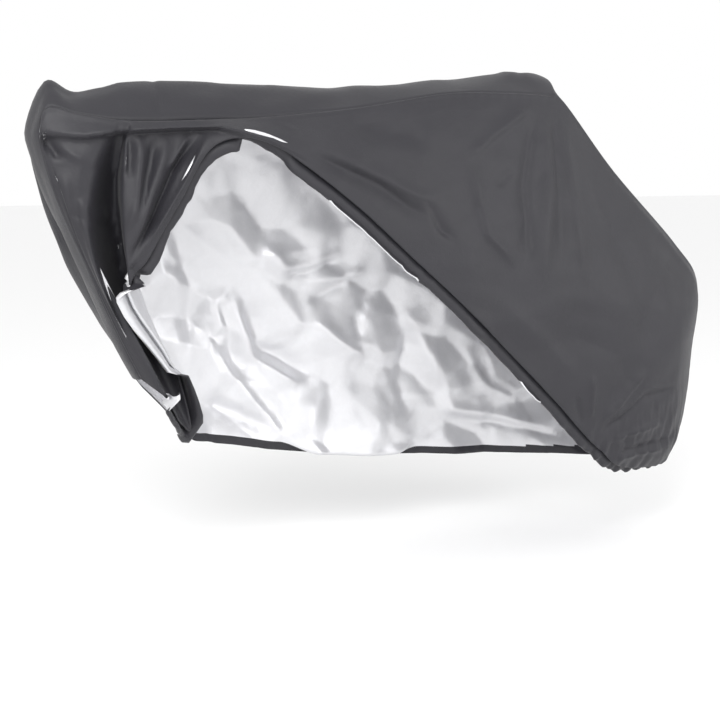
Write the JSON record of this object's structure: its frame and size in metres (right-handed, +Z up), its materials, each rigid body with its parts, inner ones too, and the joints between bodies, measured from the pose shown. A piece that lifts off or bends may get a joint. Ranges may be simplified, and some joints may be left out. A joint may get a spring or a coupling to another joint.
{
  "type": "bicycle cover",
  "caption": "Fitted cloth cover for a bicycle, hanging from its top with the lower front of one side lifted, hollow and open below.",
  "frame": {"origin": "the point under the top where the covered bicycle's top tube and saddle hold the cloth up, about 8 mm below the inside of the crest, mid length of the sagging part of the top", "axes": "+X along the cover towards the rear wheel, -Y towards the side whose lower front is lifted, +Z up"},
  "size_m": [2.042, 0.5029, 1.2197],
  "materials": {
    "side_cloth": "matte black woven polyester with a faint sheen, silver coated inside",
    "strip_cloth": "matte black woven polyester with a faint sheen, silver coated inside"
  },
  "bodies": {
    "root": {"near_side_panel": "side_cloth", "far_side_panel": "side_cloth", "centre_strip": "strip_cloth"}
  },
  "joints": []
}
